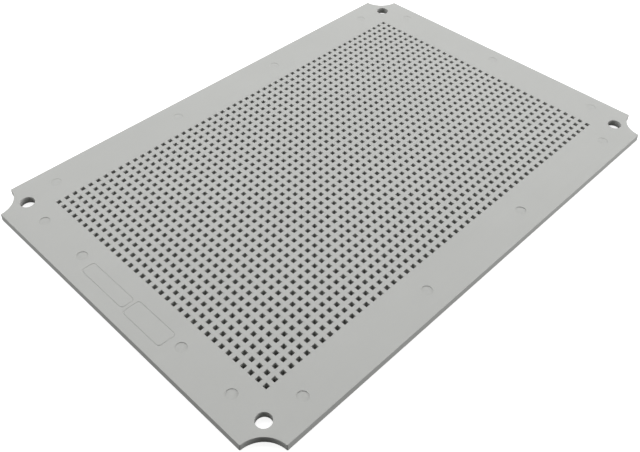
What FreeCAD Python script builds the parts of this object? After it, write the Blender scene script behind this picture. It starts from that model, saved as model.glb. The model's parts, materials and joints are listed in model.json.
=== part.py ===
"""Perforated mounting plate: one flat injection moulding with a grid of square holes.

Frame, in millimetres: the origin is the centre of the back face, +X runs along the long side,
+Y along the short side, and +Z points out of the front face.
"""

import FreeCAD, Part
import os

from FreeCAD import Vector

# Plate blank
LENGTH = 320.0
WIDTH = 220.0
THICKNESS = 4.0
DRAFT = 0.25                    # how far each side leans inwards from the back face to the front face
NOTCH_RADIUS = 14.0             # concave quarter circle that clears an enclosure's corner boss
TIP_RADIUS = 0.5                # upright edges where a notch meets the sides
FRONT_EDGE_RADIUS = 0.2         # moulded rounding round the front face

# Perforated field: square through holes on a square grid, centred on the plate
PITCH = 5.0
COLUMNS = 54
ROWS = 34
HOLE_SIDE = 2.5

# Corner fixing holes
FIXING_SPACING_X = 289.5
FIXING_SPACING_Y = 188.5
FIXING_RADIUS = 4.0

# Ejector pin marks: shallow round recesses in the margins of the front face
PIN_RADIUS = 3.0
PIN_DEPTH = 0.3
LONG_MARGIN_PIN_Y = 97.5
LONG_MARGIN_PIN_X = (40.0, 125.0)
LEFT_MARGIN_PIN_X = -146.0
LEFT_MARGIN_PIN_Y = (40.0, 75.0)
RIGHT_MARGIN_PIN_X = 149.5
RIGHT_MARGIN_PIN_Y = (0.0, 75.0)

# Two blank marking fields in the left margin, each a fine groove round a rounded rectangle
MARK_X = -148.2
MARK_FIELDS = ((-18.5, 29.0, 10.5), (14.75, 34.5, 8.0))     # centre along Y, length, width
MARK_CORNER_RADIUS = 2.0
GROOVE_WIDTH = 0.6
GROOVE_DEPTH = 0.15

OVERCUT = 1.0                   # how far a cutting tool runs past a face


def leaning_bar(half_width):
    """A bar along Y, longer than the plate, whose two long faces lean inwards towards the front."""
    half_length = LENGTH / 2 + OVERCUT
    half_front = half_width - DRAFT
    corners = [
        Vector(-half_width, -half_length, 0),
        Vector(half_width, -half_length, 0),
        Vector(half_front, -half_length, THICKNESS),
        Vector(-half_front, -half_length, THICKNESS),
    ]
    section = Part.Face(Part.makePolygon(corners + corners[:1]))
    return section.extrude(Vector(0, 2 * half_length, 0))


def at_corners(spacing_x, spacing_y):
    return [(side_x * spacing_x / 2, side_y * spacing_y / 2) for side_x in (-1, 1) for side_y in (-1, 1)]


def through_tool(x, y, radius):
    """A cylinder that runs past both faces."""
    return Part.makeCylinder(radius, THICKNESS + 2 * OVERCUT, Vector(x, y, -OVERCUT))


def is_upright(edge):
    start, end = [vertex.Point for vertex in edge.Vertexes]
    return abs(start.z - end.z) > THICKNESS / 2


def is_on_front(edge):
    return all(abs(vertex.Z - THICKNESS) < 1e-6 for vertex in edge.Vertexes)


def plate_blank():
    """The plain plate with its corner notches, its eight tips and its front edge rounded."""
    across = leaning_bar(WIDTH / 2)
    across.rotate(Vector(0, 0, 0), Vector(0, 0, 1), 90)
    blank = leaning_bar(LENGTH / 2).common(across)
    blank = blank.cut([through_tool(x, y, NOTCH_RADIUS) for x, y in at_corners(LENGTH, WIDTH)])
    blank = blank.makeFillet(TIP_RADIUS, [edge for edge in blank.Edges if is_upright(edge)])
    return blank.makeFillet(FRONT_EDGE_RADIUS, [edge for edge in blank.Edges if is_on_front(edge)])


def grid_places(count):
    """Centres of the perforations along one direction, either side of the plate's middle."""
    return [(number - (count - 1) / 2) * PITCH for number in range(count)]


def perforation_tools():
    tools = []
    for x in grid_places(COLUMNS):
        for y in grid_places(ROWS):
            corner = Vector(x - HOLE_SIDE / 2, y - HOLE_SIDE / 2, -OVERCUT)
            tools.append(Part.makeBox(HOLE_SIDE, HOLE_SIDE, THICKNESS + 2 * OVERCUT, corner))
    return tools


def fixing_tools():
    return [through_tool(x, y, FIXING_RADIUS) for x, y in at_corners(FIXING_SPACING_X, FIXING_SPACING_Y)]


def mirrored(values):
    """The values and their negatives, without repeating zero."""
    return sorted(set(values) | {-value for value in values})


def pin_tools():
    places = [(x, y) for x in mirrored(LONG_MARGIN_PIN_X) for y in mirrored([LONG_MARGIN_PIN_Y])]
    places += [(LEFT_MARGIN_PIN_X, y) for y in mirrored(LEFT_MARGIN_PIN_Y)]
    places += [(RIGHT_MARGIN_PIN_X, y) for y in mirrored(RIGHT_MARGIN_PIN_Y)]
    floor = THICKNESS - PIN_DEPTH
    return [Part.makeCylinder(PIN_RADIUS, PIN_DEPTH + OVERCUT, Vector(x, y, floor)) for x, y in places]


def rounded_block(centre_x, centre_y, size_x, size_y, radius):
    """A block that stands on the groove's floor and runs out of the front face."""
    corner = Vector(centre_x - size_x / 2, centre_y - size_y / 2, THICKNESS - GROOVE_DEPTH)
    block = Part.makeBox(size_x, size_y, GROOVE_DEPTH + OVERCUT, corner)
    uprights = [edge for edge in block.Edges if edge.Vertexes[0].Z != edge.Vertexes[1].Z]
    return block.makeFillet(radius, uprights)


def groove_tools():
    tools = []
    for centre_y, length, width in MARK_FIELDS:
        outer = rounded_block(MARK_X, centre_y, width, length, MARK_CORNER_RADIUS)
        inner = rounded_block(
            MARK_X,
            centre_y,
            width - 2 * GROOVE_WIDTH,
            length - 2 * GROOVE_WIDTH,
            MARK_CORNER_RADIUS - GROOVE_WIDTH,
        )
        tools.append(outer.cut(inner))
    return tools


def mounting_plate():
    plate = plate_blank().cut(fixing_tools() + pin_tools() + groove_tools())
    return plate.cut(perforation_tools())


os.makedirs("parts", exist_ok=True)
plate = mounting_plate()
if len(plate.Solids) != 1 or not plate.isValid():
    raise ValueError("the plate isn't one valid solid")
plate.Solids[0].exportStep("parts/mounting_plate.step")
print("plate volume", round(plate.Volume / 1000, 2), "cubic cm, faces", len(plate.Faces))
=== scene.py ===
"""Looks of the perforated mounting plate: a finely detailed moulded plate that stands for the CAD plate,
three finishes of one light grey plastic (rims with painted highlight, walls and recesses with painted
shade), a pale floor with a dark mat of painted shade under the perforations, soft studio light and the
camera.

Everything is in metres, in the frame of the CAD part: origin at the centre of the back face, +Z up.
"""

import json
import math

import bpy
from mathutils import Matrix, Vector
from mathutils.geometry import delaunay_2d_cdt


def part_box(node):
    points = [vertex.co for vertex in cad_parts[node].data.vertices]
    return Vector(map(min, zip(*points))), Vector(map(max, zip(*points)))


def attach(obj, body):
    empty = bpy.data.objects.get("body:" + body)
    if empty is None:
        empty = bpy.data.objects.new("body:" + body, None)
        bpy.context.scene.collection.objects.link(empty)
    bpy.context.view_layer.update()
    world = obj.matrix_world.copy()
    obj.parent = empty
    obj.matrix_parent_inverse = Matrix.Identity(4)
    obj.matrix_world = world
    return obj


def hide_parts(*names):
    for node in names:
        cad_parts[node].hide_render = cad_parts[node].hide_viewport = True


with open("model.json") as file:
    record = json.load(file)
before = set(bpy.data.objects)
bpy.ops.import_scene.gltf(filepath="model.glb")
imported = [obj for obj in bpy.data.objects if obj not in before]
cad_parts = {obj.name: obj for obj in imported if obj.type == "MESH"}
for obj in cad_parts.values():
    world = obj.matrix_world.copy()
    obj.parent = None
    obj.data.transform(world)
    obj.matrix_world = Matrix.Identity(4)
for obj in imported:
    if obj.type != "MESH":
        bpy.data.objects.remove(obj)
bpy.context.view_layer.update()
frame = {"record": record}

MM = 0.001
MOUNTS = {mount["name"]: mount for mount in frame["record"]["mounts"]}

# Plate blank, with its length, width and thickness taken from the CAD node
HALF_X, HALF_Y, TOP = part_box("mounting_plate")[1]
NOTCH_RADIUS = 14 * MM
TIP_RADIUS = 0.5 * MM
DRAFT = 0.25 * MM               # how far the sides lean inwards from the back face to the front face
FRONT_EDGE_RADIUS = 0.2 * MM
BACK_EDGE_RADIUS = 0.12 * MM
TIP_STEPS = 4
NOTCH_STEPS = 24
FRONT_EDGE_STEPS = 3
BACK_EDGE_STEPS = 2

# Perforations
PITCH = 5 * MM
COLUMNS = 54
ROWS = 34
HOLE_HALF = 1.25 * MM
HOLE_CORNER_RADIUS = 0.1 * MM
HOLE_CORNER_STEPS = 2
HOLE_RIM = 0.04 * MM

# Corner fixing holes
FIXING_X = MOUNTS["corner_fixings"]["dims"]["spacing_x_mm"] / 2 * MM
FIXING_Y = MOUNTS["corner_fixings"]["dims"]["spacing_y_mm"] / 2 * MM
FIXING_RADIUS = MOUNTS["corner_fixings"]["dims"]["hole_r_mm"] * MM
FIXING_RIM = 0.06 * MM
FIXING_STEPS = 60

# Ejector pin marks: seven clear ones, and eight shallower ones that hardly show
PIN_RADIUS = 3 * MM
PIN_RIM = 0.05 * MM
PIN_STEPS = 32
CLEAR_PIN_DEPTH = 0.3 * MM
CLEAR_PINS = [(x * MM, -97.5 * MM) for x in (-125, -40, 40)]
CLEAR_PINS += [(-146 * MM, y * MM) for y in (-75, -40, 40, 75)]
FAINT_PIN_DEPTH = 0.15 * MM
FAINT_PINS = [(125 * MM, -97.5 * MM)]
FAINT_PINS += [(x * MM, 97.5 * MM) for x in (-125, -40, 40, 125)]
FAINT_PINS += [(149.5 * MM, y * MM) for y in (-75, 0, 75)]

# Blank marking fields: centre along Y, length and width
MARK_X = -148.2 * MM
MARK_FIELDS = [(-18.5 * MM, 29 * MM, 10.5 * MM), (14.75 * MM, 34.5 * MM, 8 * MM)]
MARK_CORNER_RADIUS = 2 * MM
MARK_CORNER_STEPS = 6
GROOVE_WIDTH = 0.6 * MM
GROOVE_DEPTH = 0.15 * MM
GROOVE_RIM = 0.05 * MM

# Stage: the floor is a square, and the dark mat of painted shade under the perforations reaches one cell
# past the perforated field
FLOOR_HALF = 3.0
FLOOR_DEPTH = 0.2 * MM
SHADE_MAT_HALF_X = (COLUMNS + 2) / 2 * PITCH
SHADE_MAT_HALF_Y = (ROWS + 2) / 2 * PITCH
SHADE_MAT_DEPTH = 0.1 * MM

# Finishes: one plastic for the whole plate
PLASTIC = (0.455, 0.46, 0.445)  # linear base colour
GLOSS = 0.35
FACE, RIM, WALL = range(3)      # the places of its three finishes in the piece's materials


# ---- outlines: lists of (x, y), counterclockwise ----


def arc(x, y, radius, start, end, steps):
    """Points on an arc about (x, y), from one angle to the other in degrees, both ends included."""
    angles = [math.radians(start + (end - start) * step / steps) for step in range(steps + 1)]
    return [(x + radius * math.cos(angle), y + radius * math.sin(angle)) for angle in angles]


def circle(x, y, radius, steps):
    return arc(x, y, radius, 0, 360, steps)[:-1]


def rounded_rectangle(x, y, half_x, half_y, radius, steps):
    points = []
    for quarter, (side_x, side_y) in enumerate(((1, 1), (-1, 1), (-1, -1), (1, -1))):
        centre_x = x + side_x * (half_x - radius)
        centre_y = y + side_y * (half_y - radius)
        points += arc(centre_x, centre_y, radius, 90 * quarter, 90 * quarter + 90, steps)
    return points


def plate_outline(inset, z):
    """The plate's outline at a height, moved inwards by inset. A corner is a tip, the notch and a tip."""
    across = TIP_RADIUS + DRAFT * z / TOP       # from a side's foot to the centre of its tip
    along = math.sqrt((NOTCH_RADIUS + TIP_RADIUS) ** 2 - across ** 2)
    lean = math.degrees(math.atan2(across, along))
    points = []
    for quarter in range(4):
        half_1, half_2 = (HALF_X, HALF_Y) if quarter % 2 == 0 else (HALF_Y, HALF_X)
        corner = arc(half_1 - across, half_2 - along, TIP_RADIUS - inset, 0, 90 - lean, TIP_STEPS)
        corner += arc(half_1, half_2, NOTCH_RADIUS + inset, 270 - lean, 180 + lean, NOTCH_STEPS)[1:-1]
        corner += arc(half_1 - along, half_2 - across, TIP_RADIUS - inset, lean, 90, TIP_STEPS)
        for _ in range(quarter):
            corner = [(-y, x) for x, y in corner]
        points += corner
    return points


def edge_profile(front_radius, back_radius, front_steps, back_steps):
    """(offset into the material, height) from the front face down the wall to the back face."""
    profile = []
    for step in range(front_steps + 1):
        angle = math.pi / 2 * step / front_steps
        profile.append((front_radius * (1 - math.sin(angle)), TOP - front_radius * (1 - math.cos(angle))))
    for step in range(back_steps + 1):
        angle = math.pi / 2 * step / back_steps
        profile.append((back_radius * (1 - math.cos(angle)), back_radius * (1 - math.sin(angle))))
    return profile


# ---- the plate's mesh ----


class PlateMesh:
    """The plate's vertices and faces, with the finish of each face."""

    def __init__(self):
        self.points = []
        self.faces = []
        self.finishes = []

    def ring(self, outline, z):
        """Adds the outline's points at one height and returns their numbers."""
        first = len(self.points)
        self.points += [(x, y, z) for x, y in outline]
        return list(range(first, len(self.points)))

    def face(self, corners, finish):
        self.faces.append(corners)
        self.finishes.append(finish)

    def band(self, upper, lower, finish):
        """Quads between two rings. They face outwards if the rings run counterclockwise."""
        for here in range(len(upper)):
            after = (here + 1) % len(upper)
            self.face([upper[here], lower[here], lower[after], upper[after]], finish)

    def wall(self, outline_at, profile, finishes, outwards):
        """Bands down a profile between the rings of outline_at(offset, z). Returns the end rings."""
        rings = [self.ring(outline_at(offset, z), z) for offset, z in profile]
        for number, finish in enumerate(finishes):
            upper, lower = rings[number], rings[number + 1]
            if outwards:
                self.band(upper, lower, finish)
            else:
                self.band(upper[::-1], lower[::-1], finish)
        return rings[0], rings[-1]

    def flat(self, outer, holes, facing_up):
        """Fills the flat face between an outer ring and the rings of its holes."""
        loops = [outer] + holes
        numbers = [number for loop in loops for number in loop]
        place = {number: index for index, number in enumerate(numbers)}
        flat_points = [Vector(self.points[number][:2]) for number in numbers]
        regions = [[place[number] for number in loop] for loop in loops]
        result = delaunay_2d_cdt(flat_points, [], regions, 0, 1e-9, True)
        triangles, sources, inside = result[2], result[3], result[5]
        for triangle, owners in zip(triangles, inside):
            if list(owners) == [0]:
                corners = [numbers[sources[corner][0]] for corner in triangle]
                self.face(corners if facing_up else corners[::-1], FACE)

    def build(self, name, materials):
        mesh = bpy.data.meshes.new(name)
        mesh.from_pydata(self.points, [], self.faces)
        mesh.polygons.foreach_set("material_index", self.finishes)
        mesh.polygons.foreach_set("use_smooth", [True] * len(self.faces))
        for material in materials:
            mesh.materials.append(material)
        mesh.update()
        piece = bpy.data.objects.new(name, mesh)
        bpy.context.scene.collection.objects.link(piece)
        return piece


def grid_lines(count):
    """Positions of the lines between the perforations' cells, either side of the plate's middle."""
    return [(number - count / 2) * PITCH for number in range(count + 1)]


def add_perforation(mesh, x, y, front, back):
    """One square hole, joined to its cell's four corners on the front and on the back."""
    def outline(offset, _):
        half = HOLE_HALF + offset
        return rounded_rectangle(x, y, half, half, HOLE_CORNER_RADIUS + offset, HOLE_CORNER_STEPS)

    profile = edge_profile(HOLE_RIM, HOLE_RIM, 1, 1)
    front_ring, back_ring = mesh.wall(outline, profile, [RIM, WALL, RIM], outwards=False)
    for quarter in range(4):
        first = quarter * (HOLE_CORNER_STEPS + 1)
        last = first + HOLE_CORNER_STEPS
        after = (last + 1) % len(front_ring)
        following = (quarter + 1) % 4
        for corners, ring, turn in ((front, front_ring, 1), (back, back_ring, -1)):
            tip = [corners[quarter]] + ring[first:last + 1][::-1]
            side = [corners[quarter], corners[following], ring[after], ring[last]]
            mesh.face(tip[::turn], FACE)
            mesh.face(side[::turn], FACE)


def add_perforations(mesh):
    """The whole perforated field. Returns the loops of grid points round it, on the front and the back."""
    columns = grid_lines(COLUMNS)
    rows = grid_lines(ROWS)
    levels = []
    for z in (TOP, 0):
        levels.append([mesh.ring([(x, y) for y in rows], z) for x in columns])
    for column in range(COLUMNS):
        for row in range(ROWS):
            cell = [(column + 1, row + 1), (column, row + 1), (column, row), (column + 1, row)]
            front, back = [[level[i][j] for i, j in cell] for level in levels]
            add_perforation(mesh, columns[column] + PITCH / 2, rows[row] + PITCH / 2, front, back)
    loops = []
    for level in levels:
        near = [line[0] for line in level]
        far = [line[-1] for line in level]
        loops.append(near[:-1] + level[-1][:-1] + far[:0:-1] + level[0][:0:-1])
    return loops


def add_fixing_holes(mesh):
    """The four corner holes. Returns their rings on the front and on the back."""
    profile = edge_profile(FIXING_RIM, FIXING_RIM, 1, 1)
    rings = []
    for side_x in (-1, 1):
        for side_y in (-1, 1):
            rings.append(mesh.wall(
                lambda offset, _: circle(
                    side_x * FIXING_X, side_y * FIXING_Y, FIXING_RADIUS + offset, FIXING_STEPS
                ),
                profile,
                [RIM, WALL, RIM],
                outwards=False,
            ))
    return [front for front, _ in rings], [back for _, back in rings]


def recess_profile(depth, rim):
    """(offset, height) down the side of a shallow recess, from its crisp rim to its rounded floor."""
    return [(rim, TOP), (0, TOP - rim), (0, TOP - depth + rim), (-rim, TOP - depth)]


def add_pin_marks(mesh):
    """The ejector pins' round recesses. Returns their rings on the front."""
    rings = []
    for pins, depth in ((CLEAR_PINS, CLEAR_PIN_DEPTH), (FAINT_PINS, FAINT_PIN_DEPTH)):
        for x, y in pins:
            front, floor = mesh.wall(
                lambda offset, _: circle(x, y, PIN_RADIUS + offset, PIN_STEPS),
                recess_profile(depth, PIN_RIM),
                [RIM, WALL, WALL],
                outwards=False,
            )
            mesh.face(floor, WALL)
            rings.append(front)
    return rings


def add_marking_fields(mesh):
    """The grooves round the blank marking fields. Returns their outer rings on the front."""
    rings = []
    for y, length, width in MARK_FIELDS:
        def outline(offset, _):
            half_x = width / 2 + offset
            half_y = length / 2 + offset
            radius = MARK_CORNER_RADIUS + offset
            return rounded_rectangle(MARK_X, y, half_x, half_y, radius, MARK_CORNER_STEPS)

        profile = recess_profile(GROOVE_DEPTH, GROOVE_RIM)
        outer, floor = mesh.wall(outline, profile, [RIM, WALL, WALL], outwards=False)
        island = [(-GROOVE_WIDTH - offset, z) for offset, z in profile]
        inner, inner_floor = mesh.wall(outline, island, [RIM, WALL, WALL], outwards=True)
        mesh.band(floor[::-1], inner_floor[::-1], WALL)
        mesh.flat(inner, [], facing_up=True)
        rings.append(outer)
    return rings


def plate_piece(materials):
    """The whole plate as one closed mesh, shaded flat on its faces and smooth round its edges."""
    mesh = PlateMesh()
    front_field, back_field = add_perforations(mesh)
    front_fixings, back_fixings = add_fixing_holes(mesh)
    front_outline, back_outline = mesh.wall(
        plate_outline,
        edge_profile(FRONT_EDGE_RADIUS, BACK_EDGE_RADIUS, FRONT_EDGE_STEPS, BACK_EDGE_STEPS),
        [RIM] * FRONT_EDGE_STEPS + [WALL] + [RIM] * BACK_EDGE_STEPS,
        outwards=True,
    )
    recesses = add_pin_marks(mesh) + add_marking_fields(mesh)
    mesh.flat(front_outline, [front_field] + front_fixings + recesses, facing_up=True)
    mesh.flat(back_outline, [back_field] + back_fixings, facing_up=False)
    piece = mesh.build("moulded_plate", materials)
    normals = piece.modifiers.new("flat faces stay flat", "WEIGHTED_NORMAL")
    normals.weight = 100
    normals.keep_sharp = True
    return piece


# ---- materials ----


class Finish:
    """A plastic finish built from noise in the plate's own space."""

    def __init__(self, name, gloss):
        self.material = bpy.data.materials.new(name)
        self.material.use_nodes = True
        self.tree = self.material.node_tree
        self.shader = self.tree.nodes["Principled BSDF"]
        self.shader.inputs["Specular IOR Level"].default_value = gloss
        self.place = self.node("ShaderNodeTexCoord").outputs["Object"]

    def node(self, kind, **settings):
        made = self.tree.nodes.new(kind)
        for key, value in settings.items():
            setattr(made, key, value)
        return made

    def link(self, source, target):
        self.tree.links.new(source, target)

    def noise(self, size, detail=2.0, stretch=(1, 1, 1), turn=0.0):
        """Noise from 0 to 1 whose blobs are about size metres across, stretched along the axes."""
        mapping = self.node("ShaderNodeMapping")
        mapping.inputs["Rotation"].default_value = (0, 0, math.radians(turn))
        mapping.inputs["Scale"].default_value = [1 / (size * amount) for amount in stretch]
        self.link(self.place, mapping.inputs["Vector"])
        texture = self.node("ShaderNodeTexNoise")
        texture.inputs["Scale"].default_value = 1.0
        texture.inputs["Detail"].default_value = detail
        self.link(mapping.outputs["Vector"], texture.inputs["Vector"])
        return texture.outputs["Fac"]

    def ranged(self, value, low, high, source=(0.3, 0.7)):
        """The value remapped from its usual spread to low and high."""
        node = self.node("ShaderNodeMapRange")
        node.inputs["From Min"].default_value = source[0]
        node.inputs["From Max"].default_value = source[1]
        node.inputs["To Min"].default_value = low
        node.inputs["To Max"].default_value = high
        self.link(value, node.inputs["Value"])
        return node.outputs["Result"]

    def sum(self, first, second):
        node = self.node("ShaderNodeMath", operation="ADD")
        self.link(first, node.inputs[0])
        self.link(second, node.inputs[1])
        return node.outputs["Value"]

    def colour(self, dark, light, factor):
        """Base colour between two tones."""
        node = self.node("ShaderNodeMixRGB")
        node.inputs["Color1"].default_value = (*dark, 1)
        node.inputs["Color2"].default_value = (*light, 1)
        self.link(factor, node.inputs["Fac"])
        self.link(node.outputs["Color"], self.shader.inputs["Base Color"])

    def roughness(self, value):
        self.link(value, self.shader.inputs["Roughness"])

    def bump(self, height, depth):
        node = self.node("ShaderNodeBump")
        node.inputs["Distance"].default_value = depth
        self.link(height, node.inputs["Height"])
        self.link(node.outputs["Normal"], self.shader.inputs["Normal"])


def tone(share):
    """The plastic's colour, darker or lighter by a share."""
    return tuple(channel * share for channel in PLASTIC)


def face_finish():
    """Front and back: fine spark-eroded grain, faint flow clouds and a few soft handling marks."""
    finish = Finish("plastic_face", GLOSS)
    clouds = finish.ranged(finish.noise(70 * MM, 3), 0, 0.6)
    flow = finish.ranged(finish.noise(9 * MM, 2, (9, 1, 1)), 0, 0.25)
    speckle = finish.ranged(finish.noise(0.35 * MM, 2), 0, 0.15)
    finish.colour(tone(0.975), tone(1.025), finish.sum(finish.sum(clouds, flow), speckle))
    polish = finish.ranged(finish.noise(24 * MM, 4), 0.6, 0.7)
    scuffs = finish.ranged(finish.noise(0.5 * MM, 3, (60, 1, 1), 35), 0, -0.07, (0.62, 0.75))
    finish.roughness(finish.sum(polish, scuffs))
    grain = finish.ranged(finish.noise(0.16 * MM, 3), 0, 0.7)
    peel = finish.ranged(finish.noise(1.6 * MM, 2), 0, 0.3)
    finish.bump(finish.sum(grain, peel), 0.012 * MM)
    return finish.material


def rim_highlight_finish():
    """Edges: a little lighter, a painted highlight along the rims, and smoother where the grain fades."""
    finish = Finish("plastic_rim_painted_highlight", GLOSS)
    # painted highlight: the rims' colour is lighter than the faces'
    finish.colour(tone(1.0), tone(1.06), finish.ranged(finish.noise(3 * MM, 3), 0, 1))
    finish.roughness(finish.ranged(finish.noise(1.2 * MM, 3), 0.5, 0.6))
    finish.bump(finish.noise(0.3 * MM, 2), 0.006 * MM)
    return finish.material


def wall_shade_finish():
    """Walls and recesses: a little darker than the faces, painted shade in the holes and recesses; left by
    polished steel, with fine drag lines along the way the mould opens.
    """
    finish = Finish("plastic_wall_painted_shade", GLOSS)
    # painted shade: walls and recess floors are coloured darker than the faces
    finish.colour(tone(0.94), tone(1.0), finish.ranged(finish.noise(2.2 * MM, 3), 0, 1))
    finish.roughness(finish.ranged(finish.noise(1.5 * MM, 2), 0.5, 0.62))
    drag = finish.noise(0.12 * MM, 3, (1, 1, 30))
    finish.bump(drag, 0.01 * MM)
    return finish.material


def floor_finish():
    """Almost white with a soft glow for the camera, but darker in the light it throws back."""
    finish = Finish("pale_floor", 0)
    finish.shader.inputs["Emission Color"].default_value = (1, 1, 1, 1)
    seen = finish.node("ShaderNodeLightPath").outputs["Is Camera Ray"]
    finish.colour((0.16, 0.16, 0.16), (0.5, 0.5, 0.5), seen)
    finish.link(finish.ranged(seen, 0, 0.85, (0, 1)), finish.shader.inputs["Emission Strength"])
    finish.roughness(finish.ranged(finish.noise(0.3, 2), 0.85, 0.95))
    return finish.material


def shade_mat_finish():
    """A dark sheet of painted shade under the perforations, where little light comes through: the floor's
    darker thrown-back tone, without its glow.
    """
    finish = Finish("painted_shade_mat", 0)
    # painted shade: a dark colour that stands in for the shadow under the plate
    finish.colour((0.15, 0.15, 0.15), (0.17, 0.17, 0.17), finish.noise(0.02, 3))
    finish.roughness(finish.ranged(finish.noise(0.3, 2), 0.85, 0.95))
    return finish.material


# ---- stage ----


def add_sheet(name, half_x, half_y, depth, material):
    """A flat rectangle of the stage, a little below the plate's back."""
    corners = [(-half_x, -half_y), (half_x, -half_y), (half_x, half_y), (-half_x, half_y)]
    mesh = bpy.data.meshes.new(name)
    mesh.from_pydata([(x, y, -depth) for x, y in corners], [], [(0, 1, 2, 3)])
    mesh.materials.append(material)
    sheet = bpy.data.objects.new(name, mesh)
    bpy.context.scene.collection.objects.link(sheet)


def add_floor():
    """A pale floor, and a dark mat of painted shade under the perforated field that the floor's glow
    doesn't shine through.
    """
    add_sheet("floor", FLOOR_HALF, FLOOR_HALF, FLOOR_DEPTH, floor_finish())
    # the mat is a dark sheet of painted shade, seen through the perforations
    add_sheet("mat", SHADE_MAT_HALF_X, SHADE_MAT_HALF_Y, SHADE_MAT_DEPTH, shade_mat_finish())


def aim(thing, target, roll=0.0):
    """Turns a light or the camera towards a point, then rolls it, in degrees."""
    direction = Vector(target) - thing.location
    turn = direction.to_track_quat("-Z", "Y").to_matrix()
    thing.rotation_euler = (turn @ Matrix.Rotation(math.radians(roll), 3, "Z")).to_euler()


def add_softbox(name, place, width, height, watts):
    """A soft rectangular light that faces the plate."""
    light = bpy.data.lights.new(name, "AREA")
    light.shape = "RECTANGLE"
    light.size = width
    light.size_y = height
    light.energy = watts
    softbox = bpy.data.objects.new(name, light)
    softbox.location = place
    bpy.context.scene.collection.objects.link(softbox)
    aim(softbox, (0, 0, 0))


def add_studio(seen, thrown):
    """A plain world: bright where the camera sees it, dimmer for the light it throws."""
    world = bpy.data.worlds.new("studio")
    bpy.context.scene.world = world
    world.use_nodes = True
    tree = world.node_tree
    path = tree.nodes.new("ShaderNodeLightPath")
    level = tree.nodes.new("ShaderNodeMapRange")
    level.inputs["To Min"].default_value = thrown
    level.inputs["To Max"].default_value = seen
    tree.links.new(path.outputs["Is Camera Ray"], level.inputs["Value"])
    background = tree.nodes["Background"]
    background.inputs["Color"].default_value = (1, 1, 1, 1)
    tree.links.new(level.outputs["Result"], background.inputs["Strength"])


def add_lights():
    """One softbox overhead and a little behind, and a low one either side of the camera's sight line."""
    add_softbox("overhead", (0.55, 0.65, 1.1), 1.6, 1.2, 17.5)
    add_softbox("right_side", (0.95, -0.95, 0.45), 1.1, 0.8, 17.5)
    add_softbox("left_side", (-0.95, 0.95, 0.45), 1.1, 0.8, 12)
    add_studio(seen=1.0, thrown=0.12)


def add_camera():
    """The photograph's view: from the near left, looking down at about 45 degrees."""
    camera = bpy.data.objects.new("camera", bpy.data.cameras.new("camera"))
    camera.data.sensor_width = 36
    camera.data.lens = 43.95
    camera.location = (-255.2 * MM, -231.6 * MM, 294.5 * MM)
    aim(camera, (-45.5 * MM, -29.6 * MM, TOP), roll=0.97)
    bpy.context.scene.collection.objects.link(camera)
    bpy.context.scene.camera = camera


plate = plate_piece([face_finish(), rim_highlight_finish(), wall_shade_finish()])
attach(plate, "root")
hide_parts("mounting_plate")

add_floor()
add_lights()
add_camera()
bpy.context.scene.view_settings.view_transform = "Standard"
